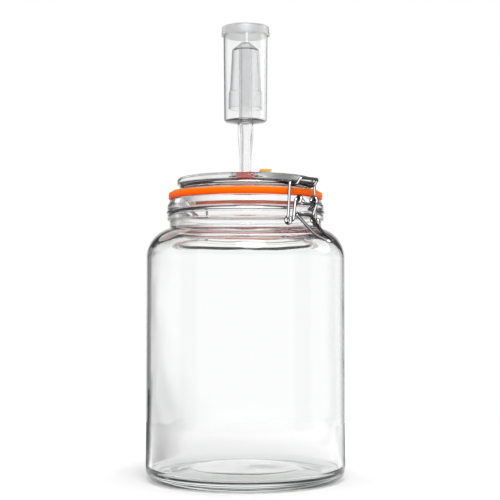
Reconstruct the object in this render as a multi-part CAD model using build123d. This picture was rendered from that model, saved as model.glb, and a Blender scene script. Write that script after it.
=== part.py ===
from build123d import *
import math
import os

# Fermentation jar with airlock. Millimetres, Z up, origin at the middle of the jar's base.
# The clamp faces -Y and the lid's hinge is at +Y. Heights are measured from the base.

# Fits and gaps
running_fit = 0.05
loose_gap = 0.3
seat_gap = 0.1
cut_overrun = 2.0
shortest_run = 0.0001

# Glass jar. The neck is set in from the wall, and its rings and rim are stacked on the shoulder.
jar_radius = 79.0
jar_wall = 4.5
base_corner = 8.0
foot_width = 11.0
push_up_height = 5.0
push_up_flank = 16.0
push_up_rounding = 12.0
floor_thickness = 5.0
floor_corner = 5.0
shoulder_height = 199.5
shoulder_rounding = 24.0
shoulder_glass = 8.5
shoulder_inner_rounding = 17.0
neck_inset = 18.3
neck_radius = jar_radius - neck_inset
neck_wall = 6.7
mouth_radius = neck_radius - neck_wall
mouth_edge_rounding = 1.5
neck_crease = 1.2
neck_foot_height = shoulder_height + neck_crease / 3
ring_depth = 1.8
ring_rounding = 0.8
rib_rise = 5.5
rib_height = shoulder_height + rib_rise
rib_width = 4.6
hoop_groove_width = 3.8
bead_height = rib_height + rib_width + hoop_groove_width
bead_width = 3.4
rim_rise = 5.2
rim_height = bead_height + bead_width + rim_rise
rim_outer_inset = 1.0
rim_rounding = 1.4

# Gasket and glass lid, stacked on the rim
gasket_thickness = 5.3
gasket_overhang = 0.8
gasket_radius = neck_radius + gasket_overhang
gasket_rounding = 0.9
plug_gap = 1.2
plug_radius = mouth_radius - plug_gap
plug_depth = 7.8
plug_wall = 6.0
plug_rounding = 1.2
lid_flange_inset = 1.7
lid_flange_radius = neck_radius - lid_flange_inset
lid_flange_edge = 1.1
lid_base_height = rim_height + gasket_thickness
lid_slope_rise = 2.5
lid_groove_depth = 8.6
lid_groove_radius = lid_flange_radius - lid_groove_depth
lid_groove_base = lid_base_height + lid_flange_edge + lid_slope_rise
lid_groove_width = 2.7
lid_disc_overhang = 4.4
lid_disc_radius = lid_groove_radius + lid_disc_overhang
lid_disc_thickness = 5.4
lid_height = lid_groove_base + lid_groove_width + lid_disc_thickness
lid_edge_rounding = 2.4
lid_glass = 7.5
lid_underside = lid_height - lid_glass

# Airlock stem, which hangs through the lid's hole
stem_radius = 4.7
stem_tip_draw = 0.2
stem_tip_radius = stem_radius - stem_tip_draw
stem_reach = 2.0
stem_tip_height = lid_underside - stem_reach
stem_length = 27.3
stem_taper_height = stem_tip_height + stem_length
stem_flare = 1.5
stem_collar_radius = stem_radius + stem_flare
stem_flare_length = 17.6
stem_collar_height = stem_taper_height + stem_flare_length
stem_wall = 1.9
stem_bore = stem_radius - stem_wall

# Grommet between the stem and the lid's hole
grommet_waist_wall = 2.9
lid_hole_radius = stem_radius + grommet_waist_wall
grommet_foot_overhang = 2.0
grommet_foot_radius = lid_hole_radius + grommet_foot_overhang
grommet_foot_thickness = 3.0
grommet_collar_overhang = 1.4
grommet_collar_radius = lid_hole_radius + grommet_collar_overhang
grommet_collar_height = 1.2
grommet_lip_overhang = 1.8
grommet_lip_radius = grommet_collar_radius + grommet_lip_overhang
grommet_lip_thickness = 2.2
grommet_rounding = 0.7
tab_length = 10.2
tab_reach = grommet_lip_radius + tab_length
tab_knee_length = 1.5
tab_rise = 4.7
tab_width = 8.0
tab_thickness = 1.5
tab_direction = -42.0

# Airlock cup, riser and cap
collar_length = 10.6
cup_base_height = stem_collar_height + collar_length
cup_depth = 75.3
cup_height = cup_base_height + cup_depth
cup_top_radius = 17.9
cup_draw = 0.7
cup_base_radius = cup_top_radius - cup_draw
cup_wall = 1.3
cup_corner = 2.6
cup_dish = 1.6
riser_set_back = 0.9
riser_radius = stem_collar_radius - riser_set_back
riser_wall = 1.5
riser_bore = riser_radius - riser_wall
cap_wall = 1.55
cap_skirt_radius = cup_top_radius + running_fit + cap_wall
cap_draw = 0.4
cap_top_radius = cap_skirt_radius - cap_draw
cap_skirt_depth = 5.8
cap_top_thickness = 1.4
cap_rounding = 0.9
vent_count = 4
vent_radius = 0.8
vent_inset = 7.1
vent_circle_radius = cap_top_radius - vent_inset

# Airlock bubbler, over the riser and inside the cup
bubbler_wall = 1.1
bubbler_lift = 10.6
bubbler_skirt_height = cup_base_height + bubbler_lift
bubbler_skirt_depth = 14.0
bubbler_waist_height = bubbler_skirt_height + bubbler_skirt_depth
bubbler_headroom = 10.9
bubbler_height = cup_height - bubbler_headroom
bubbler_side_room = 2.2
bubbler_skirt_radius = cup_base_radius - cup_wall - bubbler_side_room
bubbler_step = 1.0
bubbler_step_in = 1.2
bubbler_waist_radius = bubbler_skirt_radius - bubbler_step_in
bubbler_draw = 1.7
bubbler_shoulder_radius = bubbler_waist_radius - bubbler_draw
bubbler_crown_share = 8 / 27
bubbler_crown_radius = bubbler_shoulder_radius * bubbler_crown_share
bubbler_shoulder_drop = 6.4
bubbler_rounding = 1.5

# Steel wire parts
wire_radius = 1.2
neck_hoop_radius = neck_radius + seat_gap + wire_radius + seat_gap
neck_hoop_height = rib_height + rib_width + hoop_groove_width / 2
eye_spacing = 18.0
eye_radius = 2 * wire_radius + running_fit
riser_splay = 1.8
riser_spread = eye_spacing + 2 * riser_splay
riser_stand_off = 3.7
riser_lift = 0.8
riser_bend = 1.6
cross_wire_dip = 0.9
lid_hoop_radius = lid_groove_radius + seat_gap + wire_radius
lid_hoop_height = lid_groove_base + lid_groove_width / 2

# Lever and bail. The lever turns in the neck hoop's front eyes, and the bail's bar lies in the catch.
eye_stand_off = 8.8
lever_axis_reach = neck_radius + eye_stand_off
lever_axis_drop = 4.0
lever_axis_height = rim_height - lever_axis_drop
crank_set_back = 4.9
crank_reach = lever_axis_reach - crank_set_back
lever_length = 16.0
crank_height = lever_axis_height - lever_length
lever_pin_inset = 2.1
lever_arm_splay = 2.9
lever_arm_spread = eye_spacing + 2 * lever_arm_splay
crank_taper = 4.8
crank_spread = lever_arm_spread - crank_taper
crank_pin_length = 3.8
crank_bend = 1.3
spreader_share = 0.72
handle_inset = 4.2
handle_spread = crank_spread - handle_inset
handle_taper = 4.8
handle_knee_spread = handle_spread - handle_taper
handle_knee_stand_off = 19.4
handle_knee_reach = crank_reach + handle_knee_stand_off
handle_knee_drop = 11.8
handle_knee_height = crank_height - handle_knee_drop
handle_knee_bend = 26.0
handle_tip_stand_off = 11.0
handle_tip_reach = handle_knee_reach + handle_tip_stand_off
handle_tip_drop = 5.0
handle_tip_height = handle_knee_height - handle_tip_drop
handle_tip_taper = 5.6
handle_tip_width = handle_knee_spread - handle_tip_taper
handle_tip_bend = 2.0
bail_loop_slack = 0.2
bail_loop_radius = 2 * wire_radius + bail_loop_slack
bail_loop_spacing = crank_spread + 2 * (crank_pin_length + loose_gap + wire_radius)
bail_taper = 3.6
bail_bar_length = bail_loop_spacing - bail_taper
bail_bend = 2.6

# Catch at the front of the lid hoop. The bail's bar lies in its nook, above the cranks.
catch_splay = 0.2
catch_spacing = eye_spacing + 2 * catch_splay
nook_depth = 3.5
nook_set_out = 0.3
nook_reach = crank_reach + nook_set_out
catch_length = 7.2
catch_reach = nook_reach + catch_length
catch_rise = 1.6
catch_bend = 1.5
bar_lift = 0.45
bail_bar_height = lid_hoop_height - nook_depth + 2 * wire_radius + bar_lift

# Rear hinge of the lid hoop, whose pins lie in the neck hoop's rear eyes
hinge_stand_off = 7.8
hinge_reach = neck_radius + hinge_stand_off
hinge_drop = 0.5
hinge_height = rim_height - hinge_drop
limb_inset = 3.0
hinge_limb_spacing = eye_spacing - 2 * limb_inset
pin_overrun = 2.2
hinge_pin_length = limb_inset + wire_radius + pin_overrun
pin_bend = 1.6
limb_knee_set_in = 5.0
limb_knee_reach = hinge_reach - limb_knee_set_in
limb_knee_drop = 1.2
limb_bend = 4.0


def rounded_path(corners, closed=False):
    """Straight runs joined by tangent arcs. Each corner is (x, y, z, rounding)."""
    points = [Vector(*corner[:3]) for corner in corners]
    count = len(points)
    bends = []
    for index, corner in enumerate(points):
        rounding = corners[index][3]
        if rounding == 0:
            bends.append((corner, None, corner))
            continue
        back = (points[index - 1] - corner).normalized()
        ahead = (points[(index + 1) % count] - corner).normalized()
        half_angle = math.radians(back.get_angle(ahead)) / 2
        reach = rounding / math.tan(half_angle)
        inset = rounding / math.sin(half_angle) - rounding
        middle = corner + (back + ahead).normalized() * inset
        bends.append((corner + back * reach, middle, corner + ahead * reach))
    edges = []
    for index in range(count):
        start, middle, end = bends[index]
        if middle is not None:
            edges.append(Edge.make_three_point_arc(start, middle, end))
        if index == count - 1 and not closed:
            break
        following = bends[(index + 1) % count][0]
        if (following - end).length > shortest_run:
            edges.append(Edge.make_line(end, following))
    return Wire(edges)


def turned(corners):
    """A solid turned about the Z axis. Each corner is (radius, height, rounding)."""
    outline = rounded_path([(radius, 0, height, rounding) for radius, height, rounding in corners], True)
    return revolve(Face(outline), Axis.Z)


def bent_wire(corners):
    """Round wire along straight runs and bends. Each corner is (x, y, z, rounding)."""
    path = rounded_path(corners)
    section = Plane(origin=path @ 0, z_dir=path % 0) * Circle(wire_radius)
    return sweep(section, path=path)


def ring_wire(radius, height, start_angle, arc_angle):
    """Round wire along an arc about the Z axis, with round ends."""
    turn = math.radians(start_angle)
    start = (radius * math.cos(turn), radius * math.sin(turn), height)
    section = Plane(origin=start, z_dir=(-math.sin(turn), math.cos(turn), 0)) * Circle(wire_radius)
    wire = revolve(section, Axis.Z, arc_angle)
    for angle in (start_angle, start_angle + arc_angle):
        wire += Rot(0, 0, angle) * Pos(radius, 0, height) * Sphere(wire_radius)
    return wire


def wire_eye(x, y, z, radius):
    """A closed loop of round wire about an axis along X."""
    return Pos(x, y, z) * Rot(0, 90, 0) * Torus(radius, wire_radius)


def mirrored(corners):
    """A path with its own mirror image in the YZ plane joined on."""
    return corners + [(-x, y, z, rounding) for x, y, z, rounding in reversed(corners)]


def whole_jar():
    """The jar's glass in one, before it is parted at the foot of the neck."""
    foot_inner = jar_radius - base_corner - foot_width
    body = turned([
        (0, push_up_height, 0),
        (foot_inner - push_up_flank, push_up_height, push_up_rounding),
        (foot_inner, 0, push_up_rounding),
        (jar_radius, 0, base_corner),
        (jar_radius, shoulder_height, shoulder_rounding),
        (0, shoulder_height, 0),
    ])
    groove_base = rib_height + rib_width
    rim_outer = neck_radius - rim_outer_inset
    ring_radius = neck_radius + ring_depth
    neck = turned([
        (0, shoulder_height - shoulder_glass, 0),
        (neck_radius, shoulder_height - shoulder_glass, 0),
        (neck_radius, rib_height, 0),
        (ring_radius, rib_height, ring_rounding),
        (ring_radius, groove_base, ring_rounding),
        (neck_radius, groove_base, 0),
        (neck_radius, bead_height, 0),
        (ring_radius, bead_height, ring_rounding),
        (ring_radius, bead_height + bead_width, ring_rounding),
        (rim_outer, rim_height, rim_rounding),
        (0, rim_height, 0),
    ])
    floor_height = push_up_height + floor_thickness
    floor_edge = floor_height - push_up_height * floor_thickness / (floor_thickness + jar_wall)
    inner_radius = jar_radius - jar_wall
    cavity_top = shoulder_height - shoulder_glass
    cavity = turned([
        (0, floor_height, 0),
        (foot_inner - push_up_flank, floor_height, push_up_rounding),
        (foot_inner, floor_edge, push_up_rounding),
        (inner_radius, floor_edge, floor_corner),
        (inner_radius, cavity_top, shoulder_inner_rounding),
        (mouth_radius, cavity_top, mouth_edge_rounding),
        (mouth_radius, rim_height + cut_overrun, 0),
        (0, rim_height + cut_overrun, 0),
    ])
    jar = body + neck
    crease = [
        edge for edge in jar.edges().filter_by(GeomType.CIRCLE)
        if abs(edge.radius - neck_radius) < shortest_run
        and cavity_top < edge.center().Z < rib_height - neck_crease
    ]
    jar = fillet(crease, neck_crease) - cavity
    lip = [
        edge for edge in jar.edges().filter_by(GeomType.CIRCLE)
        if abs(edge.radius - mouth_radius) < shortest_run
        and abs(edge.center().Z - rim_height) < shortest_run
    ]
    return fillet(lip, mouth_edge_rounding)


def make_glass_jar():
    return split(whole_jar(), Plane.XY.offset(neck_foot_height), keep=Keep.BOTTOM)


def make_jar_neck():
    return split(whole_jar(), Plane.XY.offset(neck_foot_height), keep=Keep.TOP)


def make_gasket():
    inner = plug_radius + seat_gap
    return turned([
        (inner, rim_height, gasket_rounding),
        (gasket_radius, rim_height, gasket_rounding),
        (gasket_radius, lid_base_height, gasket_rounding),
        (inner, lid_base_height, gasket_rounding),
    ])


def make_glass_lid():
    flange_top = lid_base_height + lid_flange_edge
    groove_top = lid_groove_base + lid_groove_width
    plug_base = lid_base_height - plug_depth
    return turned([
        (lid_hole_radius, lid_underside, 0),
        (plug_radius - plug_wall, lid_underside, lid_edge_rounding),
        (plug_radius - plug_wall, plug_base, plug_rounding),
        (plug_radius, plug_base, plug_rounding),
        (plug_radius, lid_base_height, 0),
        (lid_flange_radius, lid_base_height, 0),
        (lid_flange_radius, flange_top, lid_flange_edge / 2),
        (lid_groove_radius, lid_groove_base, 0),
        (lid_groove_radius, groove_top, 0),
        (lid_disc_radius, groove_top, lid_flange_edge),
        (lid_disc_radius, lid_height, lid_edge_rounding),
        (lid_hole_radius, lid_height, 0),
    ])


def stem_radius_at(height):
    """Radius of the stem's lower, gently tapered part."""
    share = (stem_taper_height - height) / (stem_taper_height - stem_tip_height)
    return stem_radius + (stem_tip_radius - stem_radius) * share


def make_grommet():
    foot_base = lid_underside - grommet_foot_thickness
    collar_top = lid_height + grommet_collar_height
    lip_top = collar_top + grommet_lip_thickness
    waist = lid_hole_radius - seat_gap
    grommet = turned([
        (stem_radius_at(foot_base) + running_fit, foot_base, 0),
        (grommet_foot_radius, foot_base, grommet_rounding),
        (grommet_foot_radius, lid_underside, grommet_rounding),
        (waist, lid_underside, 0),
        (waist, lid_height, 0),
        (grommet_collar_radius, lid_height, grommet_rounding),
        (grommet_collar_radius, collar_top, grommet_rounding),
        (grommet_lip_radius, collar_top, grommet_rounding),
        (grommet_lip_radius, lip_top, grommet_rounding),
        (stem_radius_at(lip_top) + running_fit, lip_top, 0),
    ])
    root = (grommet_collar_radius + grommet_lip_radius) / 2
    knee = grommet_lip_radius + tab_knee_length
    half = tab_thickness / 2
    root_height = collar_top + grommet_lip_thickness / 2
    tab_height = root_height + tab_rise
    outline = rounded_path([
        (root + half, 0, root_height - half, 0),
        (knee + half, 0, tab_height - half, 0),
        (tab_reach, 0, tab_height - half, 0),
        (tab_reach, 0, tab_height + half, 0),
        (knee - half, 0, tab_height + half, 0),
        (root - half, 0, root_height + half, 0),
    ], True)
    tab = extrude(Face(outline), tab_width / 2, both=True)
    tab = fillet(tab.edges().filter_by(Axis.Z).sort_by(Axis.X)[-2:], tab_width / 3)
    return grommet + Rot(0, 0, tab_direction) * tab


def riser(side, front, axis_reach, axis_height):
    """The short wire that climbs from the neck hoop towards the middle of one of its eyes."""
    eye_x = side * eye_spacing / 2
    start_x = side * riser_spread / 2 if front < 0 else eye_x
    start_y = front * math.sqrt(neck_hoop_radius ** 2 - start_x ** 2)
    foot = Vector(eye_x, start_y + front * riser_stand_off, neck_hoop_height + riser_lift)
    eye = Vector(eye_x, front * axis_reach, axis_height)
    end = eye + (foot - eye).normalized() * eye_radius
    return bent_wire([
        (start_x, start_y, neck_hoop_height, 0),
        (*foot, riser_bend),
        (*end, 0),
    ])


def make_neck_hoop():
    opening = math.degrees(math.asin(riser_spread / 2 / neck_hoop_radius))
    hoop = ring_wire(neck_hoop_radius, neck_hoop_height, opening - 90, 360 - 2 * opening)
    for side in (-1, 1):
        x = side * eye_spacing / 2
        hoop += riser(side, -1, lever_axis_reach, lever_axis_height)
        hoop += wire_eye(x, -lever_axis_reach, lever_axis_height, eye_radius)
        hoop += riser(side, 1, hinge_reach, hinge_height)
        hoop += wire_eye(x, hinge_reach, hinge_height, eye_radius)
    cross_height = lever_axis_height - eye_radius - wire_radius / 4
    half = eye_spacing / 2
    hoop += bent_wire(mirrored([
        (-half, -lever_axis_reach, cross_height, 0),
        (-half / 2, -lever_axis_reach, cross_height - cross_wire_dip, half / 2),
    ]))
    return hoop


def make_lid_hoop():
    front_x = catch_spacing / 2
    front_y = -math.sqrt(lid_hoop_radius ** 2 - front_x ** 2)
    rear_x = hinge_limb_spacing / 2
    rear_y = math.sqrt(lid_hoop_radius ** 2 - rear_x ** 2)
    front_angle = math.degrees(math.atan2(front_y, front_x))
    rear_angle = math.degrees(math.atan2(rear_y, rear_x))
    hoop = ring_wire(lid_hoop_radius, lid_hoop_height, front_angle, rear_angle - front_angle)
    hoop += ring_wire(lid_hoop_radius, lid_hoop_height, 180 - rear_angle, rear_angle - front_angle)
    flange_edge = -lid_flange_radius
    hoop += bent_wire(mirrored([
        (front_x, front_y, lid_hoop_height, 0),
        (front_x, flange_edge, lid_hoop_height - nook_depth * 2 / 5, catch_bend * 2),
        (front_x, -nook_reach, lid_hoop_height - nook_depth, catch_bend * 2),
        (front_x, -(nook_reach + catch_reach) / 2, lid_hoop_height - nook_depth * 2 / 3, catch_bend * 2),
        (front_x, -catch_reach, lid_hoop_height + catch_rise, catch_bend),
    ]))
    for side in (-1, 1):
        hoop += bent_wire([
            (side * rear_x, rear_y, lid_hoop_height, 0),
            (side * rear_x, limb_knee_reach, lid_hoop_height - limb_knee_drop, limb_bend),
            (side * rear_x, hinge_reach, hinge_height, pin_bend),
            (side * (rear_x + hinge_pin_length), hinge_reach, hinge_height, 0),
        ])
    return hoop


def make_lever():
    pin_start = eye_spacing / 2 - lever_pin_inset
    arm_x = lever_arm_spread / 2
    crank_x = crank_spread / 2
    lever = None
    for side in (-1, 1):
        arm = bent_wire([
            (side * pin_start, -lever_axis_reach, lever_axis_height, 0),
            (side * arm_x, -lever_axis_reach, lever_axis_height, pin_bend),
            (side * crank_x, -crank_reach, crank_height, crank_bend),
            (side * (crank_x + crank_pin_length), -crank_reach, crank_height, 0),
        ])
        lever = arm if lever is None else lever + arm
    spreader_x = arm_x + (crank_x - arm_x) * spreader_share
    spreader_y = -lever_axis_reach + (lever_axis_reach - crank_reach) * spreader_share
    spreader_z = lever_axis_height - lever_length * spreader_share
    lever += bent_wire([
        (-spreader_x, spreader_y, spreader_z, 0),
        (spreader_x, spreader_y, spreader_z, 0),
    ])
    lever += bent_wire(mirrored([
        (-handle_spread / 2, spreader_y, spreader_z, 0),
        (-handle_knee_spread / 2, -handle_knee_reach, handle_knee_height, handle_knee_bend),
        (-handle_tip_width / 2, -handle_tip_reach, handle_tip_height, handle_tip_bend),
    ]))
    return lever


def make_bail():
    loop_x = bail_loop_spacing / 2
    bail = bent_wire(mirrored([
        (-loop_x, -crank_reach, crank_height + bail_loop_radius, 0),
        (-bail_bar_length / 2, -crank_reach, bail_bar_height, bail_bend),
    ]))
    for side in (-1, 1):
        bail += wire_eye(side * loop_x, -crank_reach, crank_height, bail_loop_radius)
    return bail


def make_airlock_body():
    cup = turned([
        (0, cup_base_height - cup_dish, 0),
        (stem_collar_radius, cup_base_height - cup_dish, 0),
        (cup_base_radius, cup_base_height, cup_corner),
        (cup_top_radius, cup_height, 0),
        (cup_top_radius - cup_wall, cup_height, 0),
        (cup_base_radius - cup_wall, cup_base_height + cup_wall, cup_corner - cup_wall),
        (stem_collar_radius, cup_base_height + cup_wall - cup_dish / 2, 0),
        (0, cup_base_height + cup_wall - cup_dish / 2, 0),
    ])
    stem = turned([
        (0, stem_tip_height, 0),
        (stem_tip_radius, stem_tip_height, 0),
        (stem_radius, stem_taper_height, 0),
        (stem_collar_radius, stem_collar_height, 0),
        (stem_collar_radius, cup_base_height, 0),
        (0, cup_base_height, 0),
    ])
    riser_top = bubbler_seat_height() - loose_gap
    tube = Pos(0, 0, cup_base_height) * extrude(Circle(riser_radius), riser_top - cup_base_height)
    bore_base = stem_tip_height - cut_overrun
    bore_step = stem_collar_height
    bore = turned([
        (0, bore_base, 0),
        (stem_bore, bore_base, 0),
        (stem_bore, bore_step, 0),
        (riser_bore, cup_base_height, 0),
        (riser_bore, riser_top + cut_overrun, 0),
        (0, riser_top + cut_overrun, 0),
    ])
    return cup + stem + tube - bore


def bubbler_seat_height():
    """Height at which the bubbler's sloping roof meets the riser's top edge, inside."""
    inner_crown = bubbler_crown_radius - bubbler_wall / 2
    inner_shoulder = bubbler_shoulder_radius - bubbler_wall
    share = (riser_radius - inner_crown) / (inner_shoulder - inner_crown)
    return bubbler_height - bubbler_wall * 5 / 4 - (bubbler_shoulder_drop - bubbler_wall / 2) * share


def make_airlock_bubbler():
    shoulder_z = bubbler_height - bubbler_shoulder_drop
    wall = bubbler_wall
    return turned([
        (0, bubbler_height, 0),
        (bubbler_crown_radius, bubbler_height, bubbler_rounding),
        (bubbler_shoulder_radius, shoulder_z, bubbler_rounding),
        (bubbler_waist_radius, bubbler_waist_height, 0),
        (bubbler_skirt_radius - wall / 4, bubbler_waist_height - bubbler_step, 0),
        (bubbler_skirt_radius, bubbler_skirt_height, 0),
        (bubbler_skirt_radius - wall, bubbler_skirt_height, 0),
        (bubbler_skirt_radius - wall * 5 / 4, bubbler_waist_height - bubbler_step - wall, 0),
        (bubbler_waist_radius - wall, bubbler_waist_height - wall / 4, 0),
        (bubbler_shoulder_radius - wall, shoulder_z - wall * 3 / 4, 0),
        (bubbler_crown_radius - wall / 2, bubbler_height - wall * 5 / 4, 0),
        (0, bubbler_height - wall * 5 / 4, 0),
    ])


def make_airlock_cap():
    inner = cup_top_radius + running_fit
    cap_height = cup_height + cap_top_thickness
    skirt_base = cup_height - cap_skirt_depth
    cap = turned([
        (0, cup_height, 0),
        (inner, cup_height, 0),
        (inner, skirt_base, 0),
        (cap_skirt_radius, skirt_base, 0),
        (cap_top_radius, cap_height, cap_rounding),
        (0, cap_height, 0),
    ])
    vent = Pos(vent_circle_radius, 0, cap_height) * Cylinder(vent_radius, cap_top_thickness * 4)
    for index in range(vent_count):
        cap -= Rot(0, 0, 360 * (index + 1 / 2) / vent_count) * vent
    return cap


makers = {
    "glass_jar": make_glass_jar,
    "jar_neck": make_jar_neck,
    "glass_lid": make_glass_lid,
    "gasket": make_gasket,
    "grommet": make_grommet,
    "neck_hoop": make_neck_hoop,
    "lid_hoop": make_lid_hoop,
    "lever": make_lever,
    "bail": make_bail,
    "airlock_body": make_airlock_body,
    "airlock_bubbler": make_airlock_bubbler,
    "airlock_cap": make_airlock_cap,
}

os.makedirs("parts", exist_ok=True)
for node_name, make in makers.items():
    export_step(make(), f"parts/{node_name}.step")
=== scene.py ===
import logging
import math
from dataclasses import dataclass
from enum import Enum
from typing import Any, ClassVar, Sequence, Union

import bpy
from mathutils import Matrix, Vector


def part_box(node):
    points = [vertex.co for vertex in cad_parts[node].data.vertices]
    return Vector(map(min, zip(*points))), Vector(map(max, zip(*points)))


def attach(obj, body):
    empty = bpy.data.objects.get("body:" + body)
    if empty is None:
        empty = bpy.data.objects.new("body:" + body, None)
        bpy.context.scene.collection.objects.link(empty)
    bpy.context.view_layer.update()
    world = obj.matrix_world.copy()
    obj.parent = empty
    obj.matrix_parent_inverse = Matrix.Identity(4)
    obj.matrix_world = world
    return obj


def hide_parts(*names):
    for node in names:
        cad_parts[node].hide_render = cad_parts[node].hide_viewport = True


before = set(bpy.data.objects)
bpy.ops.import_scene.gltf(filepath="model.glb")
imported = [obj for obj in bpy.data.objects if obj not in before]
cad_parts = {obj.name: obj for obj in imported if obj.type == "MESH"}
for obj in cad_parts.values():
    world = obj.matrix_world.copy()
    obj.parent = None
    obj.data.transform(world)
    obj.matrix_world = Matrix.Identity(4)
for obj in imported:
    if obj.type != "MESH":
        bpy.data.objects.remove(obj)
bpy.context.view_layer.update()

# The looks of a clip-top fermentation jar with an airlock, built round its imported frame.
# Sizes of pieces are in millimetres until a mesh is made. Finishes, ripples' depths, lamps,
# the camera's clipping and the floor are in metres.

log = logging.getLogger("fermentation_jar")
MM = 0.001
FULL_TURN = 2 * math.pi
PLAIN_NOISE = 1.0
RICH_NOISE = 3.0

Colour = tuple[float, float, float, float]
Settings = Union[dict[str, Any], None]
Sockets = Union[dict[Any, Any], None]


class Body(str, Enum):
    """The moving bodies of the frame."""

    JAR = "jar"
    LID = "lid"
    LEVER = "lever"
    BAIL = "bail"
    AIRLOCK = "airlock"
    BUBBLER = "bubbler"
    CAP = "cap"


class Slot(str, Enum):
    """The material slots of the record."""

    JAR_GLASS = "jar_glass"
    LID_GLASS = "lid_glass"
    GASKET = "gasket_rubber"
    GROMMET = "grommet_rubber"
    WIRE = "wire_steel"
    AIRLOCK = "airlock_plastic"
    CAP = "cap_plastic"


class Signal:
    """A value that a node gives. Sums written with it add their Math nodes."""

    def __init__(self, board: "Board", socket: bpy.types.NodeSocket) -> None:
        """Wraps one output socket of a board's node."""
        self.board = board
        self.socket = socket

    def math(self, operation: str, first: "Number", second: "Number" = 0.0) -> "Signal":
        """Adds one Math node and gives its result."""
        return self.board.out("ShaderNodeMath", {"operation": operation}, {0: first, 1: second})

    def __add__(self, other: "Number") -> "Signal":
        """The sum."""
        return self.math("ADD", self, other)

    def __radd__(self, other: "Number") -> "Signal":
        """The sum, from the right."""
        return self.math("ADD", other, self)

    def __sub__(self, other: "Number") -> "Signal":
        """The difference."""
        return self.math("SUBTRACT", self, other)

    def __rsub__(self, other: "Number") -> "Signal":
        """The difference, from the right."""
        return self.math("SUBTRACT", other, self)

    def __mul__(self, other: "Number") -> "Signal":
        """The product."""
        return self.math("MULTIPLY", self, other)

    def __rmul__(self, other: "Number") -> "Signal":
        """The product, from the right."""
        return self.math("MULTIPLY", other, self)

    def __truediv__(self, other: "Number") -> "Signal":
        """The quotient."""
        return self.math("DIVIDE", self, other)

    def __rtruediv__(self, other: "Number") -> "Signal":
        """The quotient, from the right."""
        return self.math("DIVIDE", other, self)

    def cosine(self) -> "Signal":
        """The cosine of an angle in radians."""
        return self.math("COSINE", self)

    def sine(self) -> "Signal":
        """The sine of an angle in radians."""
        return self.math("SINE", self)

    def floor(self) -> "Signal":
        """The whole number below."""
        return self.math("FLOOR", self)

    def at_most(self, limit: "Number") -> "Signal":
        """The smaller of this value and a limit."""
        return self.math("MINIMUM", self, limit)

    def at_least(self, limit: "Number") -> "Signal":
        """The larger of this value and a limit."""
        return self.math("MAXIMUM", self, limit)

    def ease(self, low: "Number", high: "Number") -> "Signal":
        """Rises smoothly from 0 at a low value to 1 at a high value."""
        return self.board.out("ShaderNodeMapRange", {"interpolation_type": "SMOOTHSTEP"},
                              {0: self, 1: low, 2: high, 3: 0.0, 4: 1.0})


Number = Union[Signal, float, int]


class Board:
    """A node tree under construction."""

    def __init__(self, tree: bpy.types.NodeTree) -> None:
        """Starts on an empty tree."""
        self.tree = tree

    def feed(self, socket: bpy.types.NodeSocket, value: Any) -> None:
        """Links a value into a socket, or sets it there.

        Args:
            socket: The input socket.
            value: A signal or output socket to link, or a constant to set.
        """
        if isinstance(value, Signal):
            value = value.socket
        if isinstance(value, bpy.types.NodeSocket):
            self.tree.links.new(value, socket)
        else:
            socket.default_value = value

    def node(self, kind: str, settings: Settings = None, sockets: Sockets = None) -> bpy.types.Node:
        """Adds a node.

        Args:
            kind: The node's type.
            settings: Its settings, set first.
            sockets: Values or links of its sockets, by name or number.

        Returns:
            The node.
        """
        made = self.tree.nodes.new(kind)
        for name, value in (settings or {}).items():
            setattr(made, name, value)
        for key, value in (sockets or {}).items():
            self.feed(made.inputs[key], value)
        return made

    def out(self, kind: str, settings: Settings = None, sockets: Sockets = None,
            output: Any = 0) -> Signal:
        """Adds a node and gives one of its outputs, by name or number."""
        return Signal(self, self.node(kind, settings, sockets).outputs[output])

    def parts(self, vector: Any) -> list[Signal]:
        """The three parts of a vector."""
        split = self.node("ShaderNodeSeparateXYZ", None, {0: vector})
        return [Signal(self, output) for output in split.outputs]

    def length(self, vector: Any) -> Signal:
        """The length of a vector."""
        return self.out("ShaderNodeVectorMath", {"operation": "LENGTH"}, {0: vector}, "Value")

    def noise(self, scale: Number, detail: float = 2.0, vector: Signal | None = None) -> Signal:
        """Soft noise from 0 to 1.

        Args:
            scale: How many features lie in a metre.
            detail: How many finer layers it has.
            vector: Where it is read, if not at the place itself.

        Returns:
            The noise.
        """
        sockets: dict[str, Any] = {"Scale": scale, "Detail": detail}
        if vector is not None:
            sockets["Vector"] = vector
        return self.out("ShaderNodeTexNoise", None, sockets)

    def blend(self, share: Number, first: Any, second: Any) -> Signal:
        """Mixes two colours, with a share of the second."""
        return self.out("ShaderNodeMix", {"data_type": "RGBA"}, {0: share, 6: first, 7: second}, 2)


def colour(red: float, green: float, blue: float) -> Colour:
    """An opaque linear colour."""
    return (red, green, blue, 1.0)


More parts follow.
